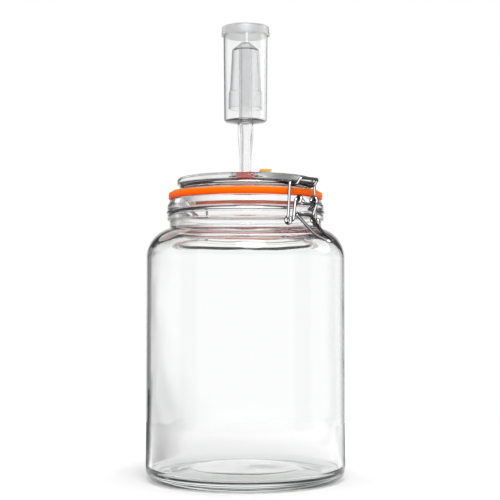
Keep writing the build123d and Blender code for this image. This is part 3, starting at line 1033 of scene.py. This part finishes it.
@dataclass
class LidStack:
    """The glass lid with its gasket below and the grommet in its hole."""

    gasket_rounding: float = 0.9
    # Painted light: the gasket runs from deep orange at its foot to brighter orange at its top.
    gasket_deep: Colour = colour(0.98, 0.08, 0.0)
    gasket_bright: Colour = colour(1.0, 0.19, 0.0)
    plug_radius: float = 52.8
    plug_wall: float = 6.0
    plug_rounding: float = 1.2
    flange_radius: float = 59.0
    flange_edge: float = 1.1
    slope_rise: float = 2.5
    groove_radius: float = 50.4
    groove_width: float = 2.7
    disc_radius: float = 54.8
    edge_rounding: float = 2.4
    sharp_rounding: float = 0.3
    small_rounding: float = 0.4
    glass_wave: float = 0.0003
    glass: float = 7.5
    hole_radius: float = 7.6
    seat_gap: float = 0.1
    fit: float = 0.05
    foot_radius: float = 9.6
    foot_thickness: float = 3.0
    collar_radius: float = 9.0
    collar_height: float = 1.2
    lip_radius: float = 10.8
    lip_thickness: float = 2.2
    rubber_rounding: float = 0.7
    tab_knee: float = 12.3
    tab_rise: float = 4.7
    tab_reach: float = 21.0
    tab_width: float = 8.0
    tab_thickness: float = 1.5
    tab_direction: float = -42.0
    tab_bend: float = 0.8
    tab_arc_step: float = math.radians(15)
    tab_end_share: float = 0.9
    tab_end_steps: int = 7
    tab_bevel_steps: int = 3
    # Painted light: the grommet is brighter at its top, and its tab is a light amber, as if lit
    # through the thin rubber.
    grommet_deep: Colour = colour(0.75, 0.07, 0.06)
    grommet_bright: Colour = colour(0.88, 0.13, 0.1)
    tab_painted_light: Colour = colour(1.0, 0.47, 0.04)

    def build(self, shop: Workshop) -> None:
        """Makes and dresses the lid, the gasket and the grommet."""
        base = top_of("gasket")
        top = top_of("glass_lid")
        groove_base = base + self.flange_edge + self.slope_rise
        groove_top = groove_base + self.groove_width
        under = top - self.glass
        plug_base = base_of("glass_lid")
        inner = self.plug_radius - self.plug_wall
        glass = PressedGlass("lid_glass", wave_depth=self.glass_wave).make()
        lid = shop.turned("lid_disc", Outline([
            (self.hole_radius, under, self.small_rounding),
            (inner, under, self.edge_rounding),
            (inner, plug_base, self.plug_rounding),
            (self.plug_radius, plug_base, self.plug_rounding),
            (self.plug_radius, base, self.sharp_rounding),
            (self.flange_radius, base, self.sharp_rounding),
            (self.flange_radius, base + self.flange_edge, self.flange_edge / 2),
            (self.groove_radius, groove_base, self.small_rounding),
            (self.groove_radius, groove_top, self.small_rounding),
            (self.disc_radius, groove_top, self.flange_edge),
            (self.disc_radius, top, self.edge_rounding),
            (self.hole_radius, top, self.small_rounding),
        ]), glass, outer_from=self.groove_radius)
        hand_over(lid, Body.LID, Slot.LID_GLASS, "glass_lid")
        self.build_gasket(shop)
        self.build_grommet(shop, under, top)

    def build_gasket(self, shop: Workshop) -> None:
        """Makes and dresses the orange gasket."""
        inner = self.plug_radius + self.seat_gap
        outer = radius_of("gasket")
        low = base_of("gasket")
        high = top_of("gasket")
        rubber = SoftRubber("gasket_rubber", self.gasket_deep, self.gasket_bright,
                            bright_from=low * MM, bright_to=high * MM).make()
        gasket = shop.turned("seal_ring", Outline([
            (inner, high, self.gasket_rounding),
            (inner, low, self.gasket_rounding),
            (outer, low, self.gasket_rounding),
            (outer, high, self.gasket_rounding),
        ]), rubber)
        hand_over(gasket, Body.LID, Slot.GASKET, "gasket")

    def build_grommet(self, shop: Workshop, under: float, top: float) -> None:
        """Makes and dresses the grommet with its pull tab.

        Args:
            shop: The tools.
            under: The height of the lid glass's lower face.
            top: The height of its upper face.
        """
        rubber = SoftRubber("grommet_rubber", self.grommet_deep, self.grommet_bright,
                            bright_from=under * MM, bright_to=top * MM, tip=self.tab_painted_light).make()
        foot = under - self.foot_thickness
        collar = top + self.collar_height
        lip = collar + self.lip_thickness
        airlock = AirlockBody()
        bore_low = airlock.stem_radius_at(foot) + self.fit
        bore_high = airlock.stem_radius_at(lip) + self.fit
        waist = self.hole_radius - self.seat_gap
        grommet = shop.turned("stem_grommet", Outline([
            (bore_high, lip, self.sharp_rounding),
            (bore_low, foot, self.sharp_rounding),
            (self.foot_radius, foot, self.rubber_rounding),
            (self.foot_radius, under, self.rubber_rounding),
            (waist, under, 0),
            (waist, top, 0),
            (self.collar_radius, top, self.rubber_rounding),
            (self.collar_radius, collar, self.rubber_rounding / 2),
            (self.lip_radius, collar, self.rubber_rounding),
            (self.lip_radius, lip, self.rubber_rounding),
        ]), rubber)
        tab = self.tab(collar + self.lip_thickness / 2, rubber)
        join = grommet.modifiers.new("tab", "BOOLEAN")
        join.operation = "UNION"
        join.solver = "EXACT"
        join.object = tab
        keep_result(grommet)
        bpy.data.objects.remove(tab)
        hand_over(grommet, Body.LID, Slot.GROMMET, "grommet")

    def tab(self, height: float, material: bpy.types.Material) -> bpy.types.Object:
        """The grommet's pull tab, which climbs from the lip and ends flat and round.

        Args:
            height: The height of its root.
            material: Its finish.

        Returns:
            The tab, before it is joined to the grommet.
        """
        root = (self.collar_radius + self.lip_radius) / 2
        half = self.tab_width / 2
        rounding = half * self.tab_end_share
        line = bend_corners([
            (Vector((root, 0, 0)), 0.0),
            (Vector((self.tab_knee, 0, self.tab_rise)), self.tab_bend),
            (Vector((self.tab_reach - rounding, 0, self.tab_rise)), 0.0),
        ], False, self.tab_arc_step)
        edges = [(spot, half) for spot in line]
        for step in range(1, self.tab_end_steps + 1):
            turn = math.pi / 2 * step / self.tab_end_steps
            edges.append((line[-1] + Vector((rounding * math.sin(turn), 0, 0)),
                          half - rounding + rounding * math.cos(turn)))
        spots = [(spot.x * MM, side * width * MM, spot.z * MM)
                 for spot, width in edges for side in (-1, 1)]
        starts = range(0, 2 * len(edges) - 2, 2)
        faces = [(start, start + 2, start + 3, start + 1) for start in starts]
        mesh = bpy.data.meshes.new("tab")
        mesh.from_pydata(spots, [], faces)
        mesh.transform(Matrix.Rotation(math.radians(self.tab_direction), 4, "Z"))
        mesh.transform(Matrix.Translation((0, 0, height * MM)))
        mesh.materials.append(material)
        tab = add_object("tab", mesh)
        thick = tab.modifiers.new("thick", "SOLIDIFY")
        thick.thickness = self.tab_thickness * MM
        thick.offset = 0.0
        soft = tab.modifiers.new("soft", "BEVEL")
        soft.width = self.tab_thickness * MM / 3
        soft.segments = self.tab_bevel_steps
        keep_result(tab)
        return tab


def keep_result(piece: bpy.types.Object) -> None:
    """Turns what a piece's modifiers make into its plain mesh."""
    mesh = evaluated_mesh(piece)
    piece.modifiers.clear()
    old = piece.data
    mesh.name = piece.name
    piece.data = mesh
    bpy.data.meshes.remove(old)


@dataclass
class WireClamp:
    """The wire parts: neck hoop, lid hoop, lever and bail.

    An axis or a crank is (Y, Z). Each bend is a radius, and each eye is a turn of wire round the
    lever's or the lid's axis.
    """

    wire: float = 1.2
    bend: float = 1.6
    lever_axis: tuple[float, float] = (-69.5, 218.0)
    crank: tuple[float, float] = (-64.6, 202.0)
    hinge: tuple[float, float] = (68.5, 221.5)

    neck_hoop_radius: float = 62.1
    eye_spacing: float = 18.0
    eye_radius: float = 2.45
    eye_pitch: float = 2.52
    front_eye_start: float = 270.0
    front_eye_turn: float = 360.0
    bridge_drop: float = 0.9
    bridge_share: float = 0.6
    bridge_bend: float = 3.0
    riser_spread: float = 21.6
    riser_stand_off: float = 3.7
    riser_lift: float = 0.8
    rear_stand_off: float = 3.1
    rear_eye_start: float = 215.0
    rear_eye_turn: float = 330.0

    catch_half: float = 9.2
    catch_nook: float = 64.9
    catch_reach: float = 72.1
    catch_rise: float = 1.6
    catch_dip: float = 3.5
    catch_first_share: float = 0.4
    catch_bend: float = 3.0
    catch_tip_bend: float = 1.5
    pin_start: float = 6.0
    pin_length: float = 6.4
    knee_reach: float = 63.5
    knee_drop: float = 1.2
    knee_bend: float = 4.0

    lever_pin_start: float = 6.9
    lever_arm: float = 11.9
    lever_crank: float = 9.5
    lever_pin_end: float = 13.3
    lever_crank_bend: float = 1.3
    rung_share: float = 0.72
    rung_half: float = 7.4
    rung_bend: float = 1.4
    handle_middle: tuple[float, float, float, float] = (5.0, -84.0, 190.2, 26.0)
    handle_tip: tuple[float, float, float, float] = (2.2, -95.0, 185.2, 2.0)

    bail_loop: float = 14.8
    bail_loop_radius: float = 2.6
    bail_loop_turn: float = 318.0
    bail_bar_half: float = 13.0
    bail_bend: float = 2.6

    def neck_height(self) -> float:
        """The height of the neck hoop's ring, between the jar's rib and bead."""
        jar = GlassJar()
        return (jar.rib_height + jar.rib_width + jar.bead_height) / 2

    def neck_paths(self) -> Wires:
        """The neck hoop's wires: the ring with its two front eyes, and the two rear eyes."""
        z = self.neck_height()
        half = self.riser_spread / 2
        opening = math.degrees(math.asin(half / self.neck_hoop_radius))
        front_y = -math.sqrt(self.neck_hoop_radius ** 2 - half ** 2)
        axis_y, axis_z = self.lever_axis
        eye_x = self.eye_spacing / 2
        inner_x = eye_x - self.eye_pitch
        bridge_z = axis_z - self.eye_radius - self.bridge_drop
        right = WirePath()
        right.to(0, axis_y, bridge_z)
        right.to(inner_x * self.bridge_share, axis_y, bridge_z, self.bridge_bend)
        right.coil(Vector((inner_x, axis_y, axis_z)), self.eye_radius, self.front_eye_start,
                   self.front_eye_turn, self.eye_pitch)
        right.to(eye_x, front_y - self.riser_stand_off, z + self.riser_lift, self.bend)
        right.round_axis(self.neck_hoop_radius, z, opening - 90, 90)
        points = right.points()
        left = [Vector((-spot.x, spot.y, spot.z)) for spot in points]
        whole = points[:-1] + left[::-1][:-1]
        return [(whole, True), (self.rear_eye(-1, z), False), (self.rear_eye(1, z), False)]

    def rear_eye(self, side: int, z: float) -> list[Vector]:
        """The wire of one rear eye, from the ring up and round the hinge's axis.

        Args:
            side: 1 on the +X side and -1 on the other.
            z: The ring's height.

        Returns:
            The wire's points.
        """
        x = side * self.eye_spacing / 2
        ring_y = math.sqrt(self.neck_hoop_radius ** 2 - x ** 2)
        path = WirePath().to(x, ring_y, z)
        path.to(x, ring_y + self.rear_stand_off, z + self.riser_lift, self.bend)
        path.coil(Vector((x, *self.hinge)), self.eye_radius, self.rear_eye_start,
                  self.rear_eye_turn)
        return path.points()

    def lid_paths(self) -> Wires:
        """The lid hoop's wire, from one hinge pin round the lid to the other."""
        lid = LidStack()
        radius = lid.groove_radius + lid.seat_gap + self.wire
        z = top_of("gasket") + lid.flange_edge + lid.slope_rise + lid.groove_width / 2
        front = math.degrees(math.asin(self.catch_half / radius))
        rear = math.degrees(math.asin(self.pin_start / radius))
        low = z - self.catch_dip
        path = WirePath()
        path.to(self.pin_start + self.pin_length, *self.hinge)
        path.to(self.pin_start, *self.hinge, self.bend)
        path.to(self.pin_start, self.knee_reach, z - self.knee_drop, self.knee_bend)
        path.round_axis(radius, z, 90 - rear, front - 90)
        for y, height, bend in (
            (lid.flange_radius, z - self.catch_dip * self.catch_first_share, self.catch_bend),
            (self.catch_nook, low, self.catch_bend),
            ((self.catch_nook + self.catch_reach) / 2, z - self.catch_dip * 2 / 3, self.catch_bend),
            (self.catch_reach, z + self.catch_rise, self.catch_tip_bend),
        ):
            path.to(self.catch_half, -y, height, bend)
        return [(path.mirrored().points(), False)]

    def lever_paths(self) -> Wires:
        """The lever's wires: two arms with their pins, and the handle's loop between them."""
        arms = []
        for side in (-1, 1):
            arm = WirePath()
            arm.to(side * self.lever_pin_start, *self.lever_axis)
            arm.to(side * self.lever_arm, *self.lever_axis, self.bend)
            arm.to(side * self.lever_crank, *self.crank, self.lever_crank_bend)
            arm.to(side * self.lever_pin_end, *self.crank)
            arms.append((arm.points(), False))
        foot = (self.lever_arm, *self.lever_axis)
        end = (self.lever_crank, *self.crank)
        x, y, z = (low + (high - low) * self.rung_share for low, high in zip(foot, end))
        handle = WirePath().to(x, y, z).to(self.rung_half, y, z, self.rung_bend)
        handle.to(*self.handle_middle).to(*self.handle_tip)
        rung = WirePath().to(-self.rung_half, y, z).to(self.rung_half, y, z)
        return [*arms, (handle.mirrored().points(), False), (rung.points(), False)]

    def bail_paths(self) -> Wires:
        """The bail's wire, from one end loop over the catch to the other."""
        path = WirePath()
        path.coil(Vector((self.bail_loop, *self.crank)), self.bail_loop_radius,
                  90 - self.bail_loop_turn, self.bail_loop_turn)
        path.to(self.bail_bar_half, self.crank[0], top_of("bail") - self.wire, self.bail_bend)
        return [(path.mirrored().points(), False)]

    def build(self, shop: Workshop) -> None:
        """Makes and dresses the four wire parts."""
        steel = BrightWire("wire_steel").make()
        wires = (
            ("neck_wire", self.neck_paths(), Body.JAR, "neck_hoop"),
            ("lid_wire", self.lid_paths(), Body.LID, "lid_hoop"),
            ("lever_wire", self.lever_paths(), Body.LEVER, "lever"),
            ("bail_wire", self.bail_paths(), Body.BAIL, "bail"),
        )
        for name, paths, body, node in wires:
            piece = shop.bent(name, paths, self.wire, steel)
            hand_over(piece, body, Slot.WIRE, node)


@dataclass
class AirlockBody:
    """The airlock's cup, riser tube and stem, moulded in one."""

    cup_radius: float = 17.9
    cup_base_radius: float = 17.2
    wall: float = 1.3
    cup_base: float = 285.0
    corner: float = 2.6
    dish: float = 1.6
    riser_radius: float = 5.3
    riser_bore: float = 3.8
    riser_top: float = 345.0
    collar_radius: float = 6.2
    collar_height: float = 274.4
    stem_radius: float = 4.7
    taper_height: float = 256.8
    tip_radius: float = 4.5
    tip_height: float = 229.5
    bore: float = 2.8
    edge_rounding: float = 0.3
    tip_rounding: float = 0.4
    taper_rounding: float = 6.0
    neck_rounding: float = 3.0
    under_rounding: float = 0.5
    riser_rounding: float = 0.6
    bore_rounding: float = 1.0

    def stem_radius_at(self, height: float) -> float:
        """The radius of the stem's gently tapered lower part at a height."""
        share = (self.taper_height - height) / (self.taper_height - self.tip_height)
        return self.stem_radius + (self.tip_radius - self.stem_radius) * share

    def build(self, shop: Workshop, plastic: bpy.types.Material) -> None:
        """Makes and dresses the airlock's body."""
        tip = base_of("airlock_body")
        rim = top_of("airlock_body")
        inner_floor = self.cup_base + self.wall
        under = self.cup_base - self.dish
        body = shop.turned("airlock_cup", Outline([
            (self.bore, tip, self.edge_rounding),
            (self.tip_radius, tip, self.tip_rounding),
            (self.stem_radius, self.taper_height, self.taper_rounding),
            (self.collar_radius, self.collar_height, self.neck_rounding),
            (self.collar_radius, under, self.under_rounding),
            (self.cup_base_radius, self.cup_base, self.corner),
            (self.cup_radius, rim, self.edge_rounding),
            (self.cup_radius - self.wall, rim, self.edge_rounding),
            (self.cup_base_radius - self.wall, inner_floor, self.corner - self.wall),
            (self.riser_radius, inner_floor - self.dish / 2, self.riser_rounding),
            (self.riser_radius, self.riser_top, self.edge_rounding),
            (self.riser_bore, self.riser_top, self.edge_rounding),
            (self.riser_bore, self.cup_base, self.bore_rounding),
            (self.bore, self.collar_height, self.bore_rounding),
        ]), plastic)
        hand_over(body, Body.AIRLOCK, Slot.AIRLOCK, "airlock_body")


@dataclass
class AirlockBubbler:
    """The float over the riser tube."""

    wall: float = 1.1
    crown_radius: float = 3.2
    shoulder_radius: float = 10.8
    shoulder_drop: float = 6.4
    waist_radius: float = 12.5
    waist_height: float = 309.6
    step: float = 1.0
    rounding: float = 1.5
    inner_rounding: float = 0.4
    skirt_rounding: float = 0.3
    step_rounding: float = 0.2

    def build(self, shop: Workshop, plastic: bpy.types.Material) -> None:
        """Makes and dresses the bubbler."""
        top = top_of("airlock_bubbler")
        skirt = base_of("airlock_bubbler")
        skirt_radius = radius_of("airlock_bubbler")
        shoulder = top - self.shoulder_drop
        step = self.waist_height - self.step
        wall = self.wall
        crown = top - wall * 5 / 4
        piece = shop.turned("airlock_float", Outline([
            (0, top, 0),
            (self.crown_radius, top, self.rounding),
            (self.shoulder_radius, shoulder, self.rounding),
            (self.waist_radius, self.waist_height, self.step_rounding),
            (skirt_radius - wall / 4, step, self.skirt_rounding),
            (skirt_radius, skirt, self.skirt_rounding),
            (skirt_radius - wall, skirt, self.skirt_rounding),
            (skirt_radius - wall * 5 / 4, step - wall, self.step_rounding),
            (self.waist_radius - wall, self.waist_height - wall / 4, self.step_rounding),
            (self.shoulder_radius - wall, shoulder - wall * 3 / 4, self.inner_rounding),
            (self.crown_radius - wall / 2, crown, self.inner_rounding),
            (0, crown, 0),
        ][::-1], closed=False), plastic)
        hand_over(piece, Body.BUBBLER, Slot.AIRLOCK, "airlock_bubbler")


@dataclass
class AirlockCap:
    """The push-on cap with its ring of vents."""

    fit: float = 0.05
    top_thickness: float = 1.4
    rounding: float = 0.9
    inner_rounding: float = 0.2
    rim_rounding: float = 0.3
    taper: float = 0.4
    vents: int = 4
    vent_radius: float = 0.8
    vent_ring: float = 12.0

    def build(self, shop: Workshop) -> None:
        """Makes and dresses the cap."""
        plastic = MilkyPlastic("cap_plastic").make()
        outer = radius_of("airlock_cap")
        inner = AirlockBody().cup_radius + self.fit
        low = base_of("airlock_cap")
        high = top_of("airlock_cap")
        seat = high - self.top_thickness
        blank = shop.turned("cap_blank", Outline([
            (0, seat, 0),
            (inner, seat, self.inner_rounding),
            (inner, low, self.rim_rounding),
            (outer, low, self.rim_rounding),
            (outer - self.taper, high, self.rounding),
            (0, high, 0),
        ], closed=False), plastic)
        cap = shop.punch.run(
            "airlock_lid", blank.data,
            Count=self.vents,
            Ring_Radius=self.vent_ring * MM,
            Hole_Radius=self.vent_radius * MM,
            Height=high * MM,
            Depth=self.top_thickness * 4 * MM,
            Material=plastic,
        )
        bpy.data.objects.remove(blank)
        cap.data.set_sharp_from_angle(angle=shop.sharp_angle)
        hand_over(cap, Body.CAP, Slot.CAP, "airlock_cap")


@dataclass
class PhotoCamera:
    """The camera, set by where the photograph was taken from.

    Angles are in degrees. The clipping distances are in metres.
    """

    azimuth: float = -42.0
    distance: float = 975.0
    height: float = 138.0
    pitch: float = 2.58
    frame_px: float = 500.0
    focal_px: float = 1219.0
    axis_px: float = 245.5
    sensor: float = 36.0
    nearest: float = 0.05
    farthest: float = 50.0

    def build(self) -> None:
        """Makes the camera and looks through it."""
        data = bpy.data.cameras.new("photo_camera")
        data.sensor_width = self.sensor
        data.lens = self.sensor * self.focal_px / self.frame_px
        data.clip_start = self.nearest
        data.clip_end = self.farthest
        turn = math.radians(self.azimuth)
        back = Vector((math.sin(turn), -math.cos(turn), 0))
        right = Vector((math.cos(turn), math.sin(turn), 0))
        yaw = math.atan((self.frame_px / 2 - self.axis_px) / self.focal_px)
        pitch = math.radians(self.pitch)
        level = right * math.sin(yaw) - back * math.cos(yaw)
        look = level * math.cos(pitch) + Vector((0, 0, math.sin(pitch)))
        camera = add_object("photo_camera", data)
        camera.location = (back * self.distance + Vector((0, 0, self.height))) * MM
        camera.rotation_euler = look.to_track_quat("-Z", "Y").to_euler()
        bpy.context.scene.camera = camera


@dataclass(frozen=True)
class Zone:
    """A stretch of values that is entered between two edges and left between two more."""

    enter: float
    inside: float
    leave: float
    outside: float

    def cover(self, value: Signal) -> Signal:
        """How far a value is in the zone, from 0 to 1."""
        return value.ease(self.enter, self.inside) * (1 - value.ease(self.leave, self.outside))


@dataclass(frozen=True)
class SoftLamp:
    """A round soft lamp that looks at the middle of the object. Lengths are in metres."""

    name: str
    azimuth: float
    height: float
    distance: float
    size: float
    power: float
    aim_height: float = 0.15

    def build(self) -> None:
        """Adds the lamp."""
        data = bpy.data.lights.new(self.name, "AREA")
        data.shape = "DISK"
        data.size = self.size
        data.energy = self.power
        lamp = add_object(self.name, data)
        lamp.visible_transmission = False
        turn = math.radians(self.azimuth)
        lamp.location = (self.distance * math.cos(turn), self.distance * math.sin(turn),
                         self.height)
        aim = Vector((0, 0, self.aim_height)) - lamp.location
        lamp.rotation_euler = aim.to_track_quat("-Z", "Y").to_euler()


@dataclass
class Studio:
    """A white floor with the object's shadow and painted shade round its base, soft lamps, and white
    surroundings with dark cards.

    Only what shines or is clear shows the cards. Zones round the object are in radians or in the
    cosine of the turn from the view, and the others are heights of a direction. The floor's
    lengths are in metres.
    """

    view_direction: float = math.radians(48)
    soft_light: float = 0.62

    card: Zone = Zone(*map(math.radians, (56, 74, 82, 108)))
    card_lean: float = math.radians(50)
    card_shade: float = 0.32
    card_side: tuple[float, float] = (-0.048, 0.043)
    card_top: tuple[float, float] = (0.28, 0.42)
    lean_heights: tuple[float, float] = (-0.09, 0.05)
    lean_down: float = 1.35
    lean_up: float = 0.35
    ceiling: Zone = Zone(0.2, 0.4, 0.52, 0.7)
    ceiling_shade: float = 0.94

    gloss_shade: float = 0.22
    near_zone: Zone = Zone(0.72, 0.8, 0.9, 0.95)
    side_zone: Zone = Zone(-0.6, -0.5, -0.25, -0.12)
    high_zone: Zone = Zone(0.3, 0.4, 0.62, 0.75)
    high_share: float = 0.5

    floor_radius: float = 0.5
    floor_drop: float = 0.0001
    floor_sides: int = 128
    floor_colour: Colour = colour(0.9, 0.9, 0.9)
    floor_roughness: float = 0.9
    floor_glow: float = 0.36
    far_glow: float = 0.44
    far_reach: tuple[float, float] = (0.15, 0.4)
    clear_share: float = 0.45
    floor_lean_share: float = 0.2
    floor_rims: Zone = Zone(0.45, 0.6, 0.9, 0.96)
    cover_reach: tuple[float, float] = (0.09, 0.14)
    # Painted shade: near the object's base the camera sees only this share of the floor's glow,
    # rising to full across this reach.
    painted_shade_glow_share: float = 0.35
    painted_shade_reach: tuple[float, float] = (0.08, 0.2)

    lamps: tuple[SoftLamp, ...] = (
        SoftLamp("key_lamp", azimuth=235.0, height=0.75, distance=0.8, size=0.55, power=5.5),
        SoftLamp("fill_lamp", azimuth=330.0, height=0.6, distance=1.0, size=0.6, power=2.0),
        SoftLamp("back_lamp", azimuth=90.0, height=0.9, distance=1.0, size=0.6, power=2.0),
    )

    def build(self) -> None:
        """Sets up the floor, the surroundings and the lamps."""
        self.build_floor()
        self.build_surroundings()
        for lamp in self.lamps:
            lamp.build()
        bpy.context.scene.view_settings.view_transform = "Standard"

    @staticmethod
    def seen_rays(board: Board) -> tuple[Signal, Signal, Signal]:
        """Whether a ray comes from the camera, through something clear, or off something shiny."""
        path = board.node("ShaderNodeLightPath")
        camera, clear, glossy = (Signal(board, path.outputs[f"Is {kind} Ray"])
                                 for kind in ("Camera", "Transmission", "Glossy"))
        return camera, clear, glossy * (1 - clear)

    def build_floor(self) -> None:
        """Makes the round white floor, which glows where it is seen, keeps its shadow and has
        painted shade round the object's base, where it glows less.
        """
        turns = [FULL_TURN * index / self.floor_sides for index in range(self.floor_sides)]
        rim = [(self.floor_radius * math.cos(turn), self.floor_radius * math.sin(turn),
                -self.floor_drop) for turn in turns]
        mesh = bpy.data.meshes.new("floor")
        mesh.from_pydata(rim, [], [list(range(self.floor_sides))])
        board = SurfaceBoard("floor")
        camera, clear, shiny = self.seen_rays(board)
        x, y = (part - side for part, side in zip(board.parts(board.place), self.card_side))
        angle = x.math("ARCTAN2", y, x) + self.card_lean * self.floor_lean_share
        reach = board.length(board.place)
        # Painted shade: the glow is weaker near the object, more so for the camera, so the floor is
        # darker round its base besides its real shadow.
        glow = self.floor_glow + (self.far_glow - self.floor_glow) * reach.ease(*self.far_reach)
        rims = self.floor_rims.cover((angle - self.view_direction).cosine())
        covered = (clear * self.card.cover(angle) + shiny * rims) * reach.ease(*self.cover_reach)
        near = self.painted_shade_glow_share + (1 - self.painted_shade_glow_share) * reach.ease(*self.painted_shade_reach)
        shown = (camera * near + shiny + clear * self.clear_share).at_most(1.0)
        seen = shown * (1 - covered) * glow
        board.set(
            Base_Color=board.blend(covered, self.floor_colour, colour(*[self.card_shade] * 3)),
            Roughness=self.floor_roughness,
            Specular_IOR_Level=0.0,
            Emission_Color=board.blend(seen, colour(0, 0, 0), colour(1, 1, 1)),
            Emission_Strength=1.0,
        )
        mesh.materials.append(board.material)
        add_object("floor", mesh)

    def build_surroundings(self) -> None:
        """Makes the world: white behind the object, with dark cards that glass and metal show."""
        world = bpy.data.worlds.new("studio")
        bpy.context.scene.world = world
        world.use_nodes = True
        board = Board(world.node_tree)
        board.tree.nodes.clear()
        x, y, z = board.parts(board.out("ShaderNodeTexCoord", None, None, "Generated"))
        camera, clear, shiny = self.seen_rays(board)
        angle = x.math("ARCTAN2", y, x)
        lean_low, lean_high = self.lean_heights
        level = z.at_most(lean_high).at_least(lean_low)
        tilt = level.math("ABSOLUTE", level) * self.lean_down - level * self.lean_up
        covered = self.card.cover(angle + tilt * self.card_lean) * (1 - z.ease(*self.card_top))
        shade = 1 - (1 - self.card_shade) * covered
        through = shade * (1 - (1 - self.ceiling_shade) * self.ceiling.cover(z))
        turn = (angle - self.view_direction).cosine()
        round_cards = self.near_zone.cover(turn) + self.side_zone.cover(turn)
        high_card = self.high_zone.cover(z) * self.high_share
        open_sky = z.ease(self.high_zone.leave, self.high_zone.outside)
        dark = (round_cards + high_card).at_most(1.0) * (1 - open_sky)
        gloss = 1 - (1 - self.gloss_shade) * dark
        rest = (1 - camera) * (1 - clear) * (1 - shiny)
        strength = camera + clear * through + shiny * gloss + rest * self.soft_light
        light = board.node("ShaderNodeBackground", None,
                           {"Color": colour(1, 1, 1), "Strength": strength})
        board.node("ShaderNodeOutputWorld", None, {"Surface": light.outputs[0]})


def main() -> None:
    """Builds the object's looks and its studio."""
    logging.basicConfig(level=logging.INFO, format="%(message)s")
    shop = Workshop()
    PhotoCamera().build()
    GlassJar().build(shop)
    LidStack().build(shop)
    WireClamp().build(shop)
    plastic = MouldedPlastic("airlock_plastic").make()
    AirlockBody().build(shop, plastic)
    AirlockBubbler().build(shop, plastic)
    AirlockCap().build(shop)
    Studio().build()


if __name__ == "__main__":
    main()
